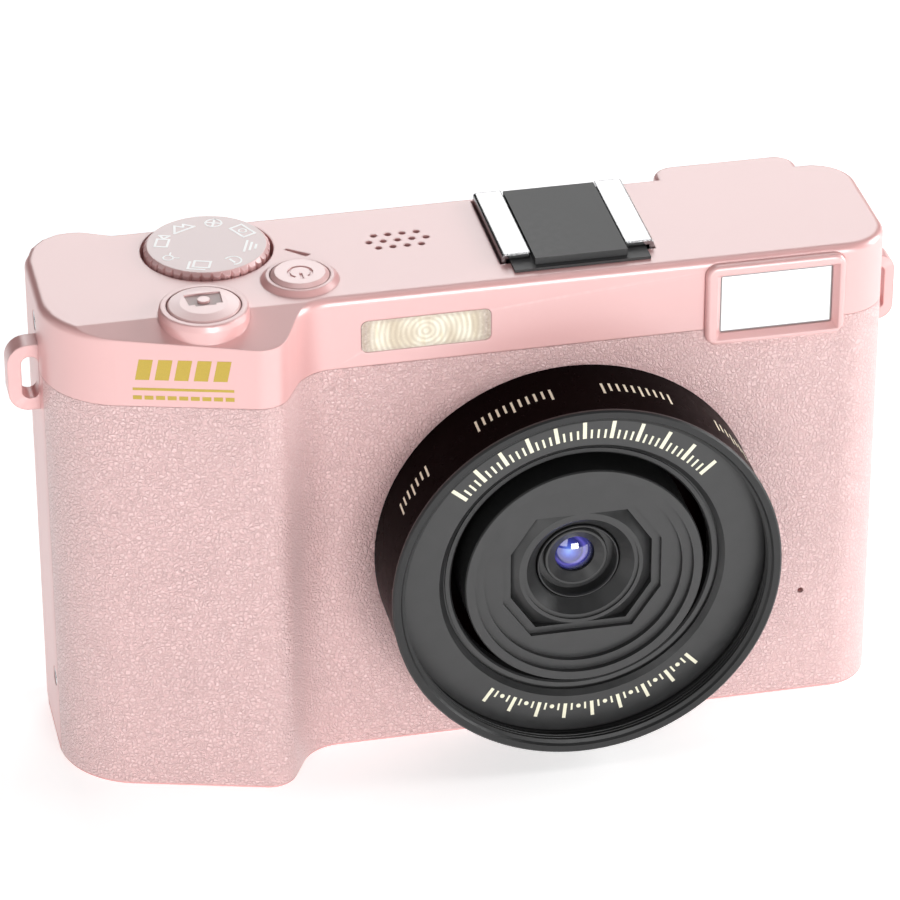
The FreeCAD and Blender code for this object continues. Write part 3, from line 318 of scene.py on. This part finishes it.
def metal(name, base, rough, scratch=0.05, direction=(0.06, 6, 6), depth=0.002, edge_mm=0.0):
    m = Mat(name)
    m.set(base=base, metal=1.0)
    mp = m.new("ShaderNodeMapping")
    mp.inputs["Scale"].default_value = direction
    m.link(m.co, mp.inputs["Vector"])
    streak = m.noise(1.0, 4.0, 0.6, vec=mp.outputs["Vector"])
    m.color(m.ramp(streak, [(0.3, scaled(base, 0.94)), (0.7, scaled(base, 1.04))]))
    m.rough(m.span(streak, 0.25, 0.75, rough - scratch, rough + scratch))
    m.normal(m.bump(streak, 0.15, depth * MM, m.soft_edges(edge_mm) if edge_mm else None))
    return m.m


mats["bright_steel"] = metal("bright_chrome", (0.40, 0.40, 0.405, 1), 0.17, 0.03, (5, 0.08, 5), 0.001, 0.35)
mats["brushed_steel"] = metal("screw_steel", (0.72, 0.72, 0.73, 1), 0.28, 0.06, (4, 0.5, 4))
mats["brass"] = metal("insert_brass", (0.80, 0.58, 0.28, 1), 0.32, 0.06, (3, 3, 0.3))
mats["reflector_metal"] = metal("reflector", (0.9, 0.88, 0.82, 1), 0.18)


def white_pane():
    m = Mat("finder_pane")
    # painted light: the pane is near-white with a faint emission, standing in for the bright backdrop seen through the
    # finder
    m.set(base=(0.97, 0.97, 0.97, 1), spec=0.6, coat=0.6, coat_rough=0.03, emit=(1, 1, 1, 1), emit_strength=0.2)
    tone = m.ramp(m.noise(0.2, 2.0), [(0.3, (0.93, 0.935, 0.94, 1)), (0.7, (0.99, 0.99, 0.99, 1))])
    x, y, z = m.xyz()
    # painted shadow: a dark band along the pane's edges, where the bezel shades it
    side = m.math("SUBTRACT", 7.875, m.math("ABSOLUTE", m.math("SUBTRACT", x, 29.175)))
    ends = m.math("SUBTRACT", 4.33, m.math("ABSOLUTE", m.math("SUBTRACT", z, 64.83)))
    rim_shadow = m.span(m.math("MINIMUM", side, ends), 0.10, 0.24, 1.0, 0.0)
    m.color(m.mix(rim_shadow, tone, (0.06, 0.045, 0.045, 1)))
    m.rough(m.span(m.noise(1.5, 3.0), 0.3, 0.7, 0.05, 0.10))
    m.normal(m.bump(m.noise(2.0, 2.0), 0.05, 0.001 * MM))
    return m.m


mats["white_window"] = white_pane()


def clear(name, tint, rough=0.04, trans=1.0):
    m = Mat(name)
    m.set(base=tint, trans=trans, ior=1.5, coat=0.2, coat_rough=0.02)
    m.color(m.ramp(m.noise(0.5, 2.0), [(0.3, scaled(tint, 0.96)), (0.7, scaled(tint, 1.0))]))
    m.rough(m.span(m.noise(2.0, 3.0), 0.3, 0.7, rough * 0.6, rough * 1.4))
    m.normal(m.bump(m.noise(3.0, 2.0), 0.03, 0.001 * MM))
    return m.m


mats["clear_glass"] = clear("clear_glass", (0.92, 0.94, 0.96, 1))
mats["sensor_face"] = clear("sensor_glass", (0.05, 0.10, 0.12, 1), trans=0.2)


def coated():
    """Front element: deep blue body with violet and magenta bands of its coating, centred a little above and left of
    the lens axis; the bright blue middle there is a painted reflection, and the bands are partly coating tint and
    partly painted reflection.
    """
    m = Mat("coated_glass")
    m.set(base=(0.02, 0.02, 0.10, 1), spec=1.0, coat=1.0, coat_rough=0.01, ior=1.7)
    x, y, z = m.xyz()
    # the ramp's centre sits above and left of the axis, where the painted reflection falls
    dz = m.math("SUBTRACT", z, 31.35)
    dx = m.math("ADD", x, 0.95)
    r = m.math("SQRT", m.math("ADD", m.math("MULTIPLY", dx, dx), m.math("MULTIPLY", dz, dz)))
    wob = m.math("MULTIPLY", m.math("SUBTRACT", m.noise(0.9, 2.0), 0.5), 0.4)
    rr = m.math("DIVIDE", m.math("ADD", r, wob), 4.0)
    m.color(m.ramp(rr, [(0.0, (0.22, 0.42, 0.95, 1)), (0.14, (0.12, 0.20, 0.80, 1)), (0.30, (0.05, 0.06, 0.42, 1)),
                        (0.46, (0.03, 0.035, 0.20, 1)), (0.56, (0.14, 0.12, 0.60, 1)), (0.66, (0.05, 0.05, 0.30, 1)),
                        (0.85, (0.01, 0.012, 0.05, 1)), (1.0, (0.006, 0.006, 0.012, 1))]))
    m.rough(m.span(m.noise(2.0, 2.0), 0.3, 0.7, 0.03, 0.07))
    m.normal(m.bump(m.noise(1.0, 1.0), 0.02, 0.002 * MM))
    return m.m


mats["coated_glass"] = coated()


def flash_pane():
    """Moulded flash window: concentric refracting rings about its middle, all in painted light: a warm painted glow in
    the lit middle, painted grey shade at the ends and towards the top and bottom, painted darker bands on the rings and
    a faint emission.
    """
    m = Mat("flash_fresnel")
    m.set(base=(0.8, 0.75, 0.6, 1), spec=0.6, coat=0.35, coat_rough=0.12)
    x, y, z = m.xyz()
    dx = m.math("ADD", x, 19.9)
    dz = m.math("SUBTRACT", z, 65.73)
    r = m.math("SQRT", m.math("ADD", m.math("MULTIPLY", dx, dx), m.math("MULTIPLY", m.math("MULTIPLY", dz, dz), 1.15)))
    ring = m.math("SINE", m.math("MULTIPLY", r, 2 * math.pi / 0.74))
    ring = m.math("MULTIPLY_ADD", ring, 0.5)
    m.t.nodes[-1].inputs[2].default_value = 0.5
    ax = m.math("ABSOLUTE", dx)
    mp = m.new("ShaderNodeMapping")
    mp.inputs["Scale"].default_value = (0.55, 1, 0.18)
    m.link(m.co, mp.inputs["Vector"])
    glow = m.noise(1.0, 2.0, 0.45, vec=mp.outputs["Vector"])
    streak = m.noise(2.6, 3.0, 0.6)
    warm = m.ramp(glow, [(0.34, lin(214, 200, 176)), (0.48, lin(232, 222, 200)), (0.60, lin(246, 242, 224)),
                         (0.72, lin(232, 220, 190))])
    grey = m.ramp(streak, [(0.3, lin(166, 144, 132)), (0.7, lin(204, 188, 176))])
    # painted shade: grey towards the ends and the top and bottom edges, then darker bands on the rings
    ends = m.span(ax, 6.6, 8.6, 0.0, 1.0, True)
    top_bottom_shade = m.span(m.math("ABSOLUTE", dz), 1.5, 2.3, 0.0, 0.5, True)
    col = m.mix(ends, warm, grey)
    col = m.mix(top_bottom_shade, col, grey)
    col = m.mix(m.math("MULTIPLY", m.math("SUBTRACT", 1.0, ring), 0.42), col, lin(176, 156, 134))
    m.color(col)
    m.rough(m.span(streak, 0.3, 0.7, 0.16, 0.30))
    m.normal(m.bump(ring, 0.55, 0.06 * MM))
    # a faint painted glow from the pane itself
    m.set(emit=(1.0, 0.97, 0.85, 1), emit_strength=0.05)
    return m.m


mats["flash_glass"] = flash_pane()


def display():
    m = Mat("display_glass")
    m.set(base=(0.006, 0.006, 0.008, 1), spec=0.3, coat=0.35, coat_rough=0.02)
    x, y, z = m.xyz()
    inx = m.math("SUBTRACT", 1.0, m.span(m.math("ABSOLUTE", m.math("SUBTRACT", x, 2.5)), 31.6, 31.8, 0, 1))
    inz = m.math("SUBTRACT", 1.0, m.span(m.math("ABSOLUTE", m.math("SUBTRACT", z, 30.6)), 22.9, 23.1, 0, 1))
    act = m.math("MULTIPLY", inx, inz)
    m.color(m.mix(act, (0.004, 0.004, 0.005, 1), m.ramp(m.noise(0.08, 2.0), [(0.3, (0.010, 0.012, 0.018, 1)), (0.7, (0.016, 0.018, 0.026, 1))])))
    m.rough(m.span(m.noise(0.5, 5.0, 0.7), 0.35, 0.7, 0.05, 0.14))
    m.normal(m.bump(m.noise(0.4, 2.0), 0.02, 0.002 * MM))
    return m.m


mats["display_glass"] = display()
mats["gold"] = metal("gold_foil", lin(196, 169, 74), 0.42, 0.05, (6, 6, 6), 0.002)
mats["gold"].node_tree.nodes["Principled BSDF"].inputs["Metallic"].default_value = 0.35
mats["cream"] = plastic("cream_print", lin(244, 240, 216), rough=0.5, grain=8.0, grain_depth=0.003, vary=0.02)
mats["print_white"] = plastic("white_print", (0.95, 0.93, 0.93, 1), rough=0.36, spec=1.0, ior=1.8, grain=8.0, grain_depth=0.003, vary=0.02)
mats["print_dark"] = plastic("dark_print", (0.20, 0.09, 0.09, 1), rough=0.5, grain=8.0, grain_depth=0.003, vary=0.03)
mats["amber"] = plastic("status_lens", (0.7, 0.25, 0.05, 1), rough=0.2, vary=0.05, coat=0.5)

# ------------------------------------------------------------------ CAD nodes take their finish from their slot
slot_of = {s["node"]: s["material_slot"] for s in frame["record"]["subparts"]}
for name, ob in NODE.items():
    m = mats["base_plastic"] if name in ("bottom_plate", "battery_door") else mats[slot_of[name]]
    ob.data.materials.clear()
    ob.data.materials.append(m)


# ------------------------------------------------------------------ thin printed and applied marks
def flat_piece(name, loops, origin, u, v, n, thick, body, mat, slices=None):
    """Thin raised marks: 2-D loops (mm) in the plane u, v at origin (mm), raised by thick along n."""
    bm = bmesh.new()
    O, U, W, Nn = Vector(origin), Vector(u).normalized(), Vector(v).normalized(), Vector(n).normalized()
    for n_loop, loop in enumerate(loops):
        # neighbouring loops differ in height by a few microns, so strokes that cross never share a face
        lift = thick + 0.0025 * (n_loop % 5)
        base = [bm.verts.new((O + U * a + W * b - Nn * (0.02 + 0.0025 * (n_loop % 5))) * MM) for a, b in loop]
        top = [bm.verts.new((O + U * a + W * b + Nn * lift) * MM) for a, b in loop]
        k = len(loop)
        bm.faces.new(top)
        bm.faces.new(base[::-1])
        for i in range(k):
            bm.faces.new((base[i], base[(i + 1) % k], top[(i + 1) % k], top[i]))
    bmesh.ops.recalc_face_normals(bm, faces=bm.faces)
    me = bpy.data.meshes.new(name)
    bm.to_mesh(me)
    bm.free()
    ob = bpy.data.objects.new(name, me)
    scene.collection.objects.link(ob)
    me.materials.append(mats[mat])
    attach(ob, body)
    return ob


def rect(x0, y0, x1, y1, skew=0.0):
    return [(x0, y0), (x1, y0), (x1 + skew, y1), (x0 + skew, y1)]


def ring_loops(cx, cy, r0, r1, a0=0.0, a1=360.0, seg=24):
    """An annulus sector as quads; angles in degrees, anticlockwise from +u."""
    out = []
    k = max(2, int(seg * abs(a1 - a0) / 360.0))
    for i in range(k):
        t0 = math.radians(a0 + (a1 - a0) * i / k)
        t1 = math.radians(a0 + (a1 - a0) * (i + 1) / k)
        out.append([(cx + r0 * math.cos(t0), cy + r0 * math.sin(t0)), (cx + r1 * math.cos(t0), cy + r1 * math.sin(t0)),
                    (cx + r1 * math.cos(t1), cy + r1 * math.sin(t1)), (cx + r0 * math.cos(t1), cy + r0 * math.sin(t1))])
    return out


def disc(cx, cy, r, seg=20):
    return [(cx + r * math.cos(2 * math.pi * i / seg), cy + r * math.sin(2 * math.pi * i / seg)) for i in range(seg)]


def stroke(points, w, closed=False):
    """A polyline of constant width as separate quads."""
    out = []
    pts = list(points) + ([points[0]] if closed else [])
    for (x0, y0), (x1, y1) in zip(pts[:-1], pts[1:]):
        dx, dy = x1 - x0, y1 - y0
        d = math.hypot(dx, dy)
        ex, ey = dx / d * w / 2, dy / d * w / 2
        px, py = -dy / d * w / 2, dx / d * w / 2
        out.append([(x0 - ex + px, y0 - ey + py), (x0 - ex - px, y0 - ey - py), (x1 + ex - px, y1 + ey - py),
                    (x1 + ex + px, y1 + ey + py)])
    return out


# gold bars on the smooth band of the grip, on its slanted front plane
slope = -0.2750
gn = Vector((slope, -1.0, 0)).normalized()
gu = Vector((1.0, slope, 0)).normalized()
gy = -13.6 + slope * (-60.7 + 71.65)
bars = []
for i in range(5):
    w = 1.9
    bars.append(rect(0.35 + i * 2.62, 3.35, 0.35 + i * 2.62 + w, 6.45, 0.62))
bars.append(rect(0.0, 1.75, 13.6, 2.15))
for i in range(9):
    bars.append(rect(0.0 + i * 1.55, 0.35, 0.0 + i * 1.55 + 1.2, 0.95))
flat_piece("grip_gold_bars", bars, (-60.7, gy, 62.0), gu, (0, 0, 1), gn, 0.02, "camera", "gold")


# cream scale marks on the lens name ring (face at 3.5 mm behind the ring's front) and on the barrel's side
ring_y = -25.77 + 3.5
marks = []


def tick(a, r0, r1, w):
    """A radial bar: a is measured from the top, clockwise as seen from the front."""
    t = math.radians(a)
    d = (math.sin(t), math.cos(t))
    p = (d[1], -d[0])
    return [(d[0] * r0 + p[0] * w / 2, d[1] * r0 + p[1] * w / 2), (d[0] * r0 - p[0] * w / 2, d[1] * r0 - p[1] * w / 2),
            (d[0] * r1 - p[0] * w / 2, d[1] * r1 - p[1] * w / 2), (d[0] * r1 + p[0] * w / 2, d[1] * r1 + p[1] * w / 2)]


for i in range(-20, 21):
    a = i * 2.5
    if i % 4 == 0:
        marks.append(tick(a, 21.35, 24.15, 0.55))
    else:
        marks.append(tick(a, 21.35, 22.7, 0.30))
for i in range(-16, 17):
    a = 176 + i * 2.5
    if i % 4 == 0:
        marks.append(tick(a, 21.5, 23.9, 0.5))
    elif i % 4 == 2:
        marks.append(disc(math.sin(math.radians(a)) * 22.0, math.cos(math.radians(a)) * 22.0, 0.33, 12))
    else:
        marks.append(tick(a, 21.5, 22.6, 0.28))
flat_piece("ring_scale_marks", marks, (0, ring_y, 30.5), (1, 0, 0), (0, 0, 1), (0, -1, 0), 0.02, "camera", "cream")


def barrel_marks():
    bm = bmesh.new()
    r0, r1 = 27.33, 27.372

    def patch(a0, a1, y0, y1):
        k = max(1, int(abs(a1 - a0) / 1.5))
        rows = []
        for i in range(k + 1):
            t = math.radians(a0 + (a1 - a0) * i / k)
            s, c = math.sin(t), math.cos(t)
            rows.append([bm.verts.new(Vector((r * s, y, 30.5 + r * c)) * MM) for r, y in
                         ((r0, y0), (r1, y0), (r1, y1), (r0, y1))])
        for i in range(k):
            a, b = rows[i], rows[i + 1]
            for j in range(4):
                bm.faces.new((a[j], a[(j + 1) % 4], b[(j + 1) % 4], b[j]))
        bm.faces.new(rows[0])
        bm.faces.new(rows[-1][::-1])
    for centre, count in ((-58, 7), (-20, 11), (17, 10), (52, 7)):
        for i in range(count):
            a = centre + (i - (count - 1) / 2.0) * 2.3
            long = i in (0, count - 1) or i == count // 2
            patch(a - 0.36, a + 0.36, -20.6 if long else -19.9, -17.9)
    bmesh.ops.recalc_face_normals(bm, faces=bm.faces)
    me = bpy.data.meshes.new("barrel_scale_marks")
    bm.to_mesh(me)
    bm.free()
    ob = bpy.data.objects.new("barrel_scale_marks", me)
    scene.collection.objects.link(ob)
    me.materials.append(mats["cream"])
    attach(ob, "camera")


barrel_marks()

# the release's rubber return dome, built here in place of the CAD part
def return_dome():
    profile = [(4.0, 69.03), (4.45, 69.03), (4.45, 69.2), (4.1, 69.63), (3.75, 70.06), (3.42, 70.46), (3.1, 70.85),
               (2.7, 70.85), (2.3, 70.85), (2.3, 70.6), (2.9, 70.6), (3.2, 70.18), (3.46, 69.8), (3.73, 69.41)]
    bm = bmesh.new()
    n = 64
    rings = []
    for i in range(n):
        t = 2 * math.pi * i / n
        rings.append([bm.verts.new(Vector((-50.2 + r * math.cos(t), -12.9 + r * math.sin(t), z)) * MM)
                      for r, z in profile])
    k = len(profile)
    for i in range(n):
        a, b = rings[i], rings[(i + 1) % n]
        for j in range(k):
            bm.faces.new((a[j], a[(j + 1) % k], b[(j + 1) % k], b[j]))
    bmesh.ops.recalc_face_normals(bm, faces=bm.faces)
    me = bpy.data.meshes.new("release_return_dome")
    bm.to_mesh(me)
    bm.free()
    ob = bpy.data.objects.new("release_return_dome", me)
    scene.collection.objects.link(ob)
    me.materials.append(mats["silicone"])
    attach(ob, "camera")
    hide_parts("shutter_return_dome")
    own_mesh(ob)


return_dome()

# dial pictograms: eight plain line symbols, each turned to face outwards
DC = Vector((-46.8, 5.1, 0))
DIAL_TOP = 72.85
symbols = [
    stroke([(-1.15, -0.7), (1.15, -0.7), (1.15, 0.7), (-1.15, 0.7)], 0.24, True) + ring_loops(0, 0, 0.30, 0.46),
    ring_loops(0, 0, 0.72, 0.90) + stroke([(-0.8, 0), (0.8, 0)], 0.24) + stroke([(0, -0.8), (0, 0.8)], 0.24),
    stroke([(-1.2, -0.7), (-0.3, 0.6), (0.25, -0.1), (0.6, 0.35), (1.2, -0.7)], 0.25, True),
    stroke([(-1.1, -0.6), (0.45, -0.6), (0.45, 0.6), (-1.1, 0.6)], 0.24, True) + stroke([(0.55, 0), (1.2, 0.5), (1.2, -0.5)], 0.24, True),
    ring_loops(0, 0.25, 0.42, 0.58) + ring_loops(0, -0.95, 0.72, 0.88, 25, 155),
    stroke([(-1.0, -0.8), (-1.0, 0.5), (0.6, 0.5), (0.6, -0.8)], 0.24, True) + stroke([(-0.6, 0.9), (1.05, 0.9), (1.05, -0.5)], 0.24),
    ring_loops(0, 0, 0.75, 0.92, 60, 300) + stroke([(0.1, -0.35), (0.1, 0.35)], 0.24),
    stroke([(-1.1, -0.5), (1.1, -0.5)], 0.24) + stroke([(-0.75, 0), (0.75, 0)], 0.24) + stroke([(-0.4, 0.5), (0.4, 0.5)], 0.24),
]
loops = []
for i, sym in enumerate(symbols):
    a = math.radians(22.5 + 45 * i + 4)
    cx, cy = 6.1 * math.cos(a), 6.1 * math.sin(a)
    ex, ey = (-math.sin(a), math.cos(a)), (-math.cos(a), -math.sin(a))
    for lp in sym:
        loops.append([(cx - 1.38 * (p * ex[0] + q * ey[0]), cy - 1.38 * (p * ex[1] + q * ey[1])) for p, q in lp])
flat_piece("dial_top_disc", [disc(0, 0, 8.12, 72)], (DC.x, DC.y, DIAL_TOP), (1, 0, 0), (0, 1, 0), (0, 0, 1), 0.015,
           "dial", "dial_face")
flat_piece("dial_pictograms", loops, (DC.x, DC.y, DIAL_TOP + 0.015), (1, 0, 0), (0, 1, 0), (0, 0, 1), 0.02, "dial",
           "print_white")

# a thin darker sheet on the floor of the release cap's recessed symbol: painted shade
flat_piece("release_symbol_floor", [[(-52.5, -10.5), (-52.26, -13.45), (-51.46, -13.45), (-51.36, -13.9),
                                     (-48.74, -13.9), (-48.64, -13.45), (-47.8, -13.45), (-47.65, -10.35)]],
           (0, 0, 73.62), (1, 0, 0), (0, 1, 0), (0, 0, 1), 0.02, "shutter", "recess_tone")

# rear key symbols
RY = 13.3


def rear(name, cx, cz, loops_, y, body, mat="print_dark"):
    flat_piece(name, loops_, (cx, y, cz), (-1, 0, 0), (0, 0, 1), (0, 1, 0), 0.02, body, mat)


rear("menu_symbol", -44.6, 42.5, stroke([(-0.95, 0.6), (0.95, 0.6)], 0.22) + stroke([(-0.95, 0), (0.95, 0)], 0.22)
     + stroke([(-0.95, -0.6), (0.95, -0.6)], 0.22), RY, "menu")
rear("playback_symbol", -44.6, 8.6, [[(-0.65, -0.9), (0.95, 0.0), (-0.65, 0.9)]], RY, "playback")
rear("delete_symbol", -58.9, 8.6, stroke([(-0.7, 0.45), (-0.5, -0.95), (0.5, -0.95), (0.7, 0.45)], 0.2, True)
     + stroke([(-0.95, 0.72), (0.95, 0.72)], 0.22), RY, "delete")
arrows = []
for k in range(4):
    a = math.radians(90 * k)
    c, s = math.cos(a), math.sin(a)
    arrows.append([(c * x - s * z, s * x + c * z) for x, z in ((7.9, 0.0), (6.7, 0.85), (6.7, -0.85))])
rear("nav_symbols", -52.0, 25.0, arrows, 13.17, "nav")
rear("ok_symbol", -52.0, 25.0, ring_loops(0, 0, 0.85, 1.1), 13.35, "ok")
rear("rocker_plus", -54.4, 53.6, stroke([(-0.75, 0), (0.75, 0)], 0.24) + stroke([(0, 0.12), (0, 0.75)], 0.24)
     + stroke([(0, -0.12), (0, -0.75)], 0.24), 13.7, "rocker")
rear("rocker_minus", -44.6, 53.6, stroke([(-0.75, 0), (0.75, 0)], 0.24), 13.7, "rocker")
rear("display_status", -33.0 + 66, 3.0, [disc(0, 0, 0.55)], 12.6, "camera", "amber")

# battery door: a plain triangle that shows which way the catch slides
flat_piece("door_symbol", [[(-0.9, -0.8), (0.9, 0.0), (-0.9, 0.8)]], (-59.5, -2.0, 0.0), (1, 0, 0), (0, 1, 0),
           (0, 0, -1), 0.0, "door", "print_dark")

# ------------------------------------------------------------------ floor, light and camera
bpy.ops.mesh.primitive_plane_add(size=6.0, location=(0, 0, -0.00002))
floor = bpy.context.object
floor.name = "floor"
fm = Mat("floor_paper")
fm.set(spec=0.1, base=(0.93, 0.93, 0.93, 1))
fm.color(fm.ramp(fm.noise(0.004, 2.0), [(0.3, (0.925, 0.925, 0.925, 1)), (0.7, (0.94, 0.94, 0.94, 1))]))
fm.bsdf.inputs["Roughness"].default_value = 0.9
fm.set(emit=(1, 1, 1, 1), emit_strength=FLOOR_GLOW)
floor.data.materials.append(fm.m)

world = bpy.data.worlds.new("studio")
scene.world = world
world.use_nodes = True
bg = world.node_tree.nodes["Background"]
bg.inputs["Color"].default_value = (1, 1, 1, 1)
bg.inputs["Strength"].default_value = WORLD


def area(name, loc, size, power, target=(0, 0, 0.035), size_y=None):
    ld = bpy.data.lights.new(name, "AREA")
    ld.energy = power
    ld.size = size
    if size_y:
        ld.shape = "RECTANGLE"
        ld.size_y = size_y
    ob = bpy.data.objects.new(name, ld)
    ob.location = loc
    d = Vector(target) - Vector(loc)
    ob.rotation_mode = "QUATERNION"
    ob.rotation_quaternion = d.to_track_quat("-Z", "Y")
    scene.collection.objects.link(ob)
    return ob


for lamp in LAMPS:
    area(*lamp)

scene.view_settings.view_transform = "Standard"
scene.view_settings.look = "None"

yaw, pitch, roll = math.radians(-12.0483), math.radians(30.6), math.radians(-0.1325)
back = Vector((math.sin(yaw) * math.cos(pitch), -math.cos(yaw) * math.cos(pitch), math.sin(pitch)))
right = Vector((math.cos(yaw), math.sin(yaw), 0))
up = back.cross(right)
r2 = right * math.cos(roll) + up * math.sin(roll)
u2 = up * math.cos(roll) - right * math.sin(roll)
cd = bpy.data.cameras.new("camera")
cd.lens = 4805.218 * 36.0 / 900.0
cd.sensor_width = 36.0
cd.clip_start, cd.clip_end = 0.05, 20
cam = bpy.data.objects.new("photo_camera", cd)
rot = Matrix((r2, u2, back)).transposed()
cam.matrix_world = Matrix.Translation(Vector((-135.216, -568.095, 382.518)) * MM) @ rot.to_4x4()
scene.collection.objects.link(cam)
scene.camera = cam
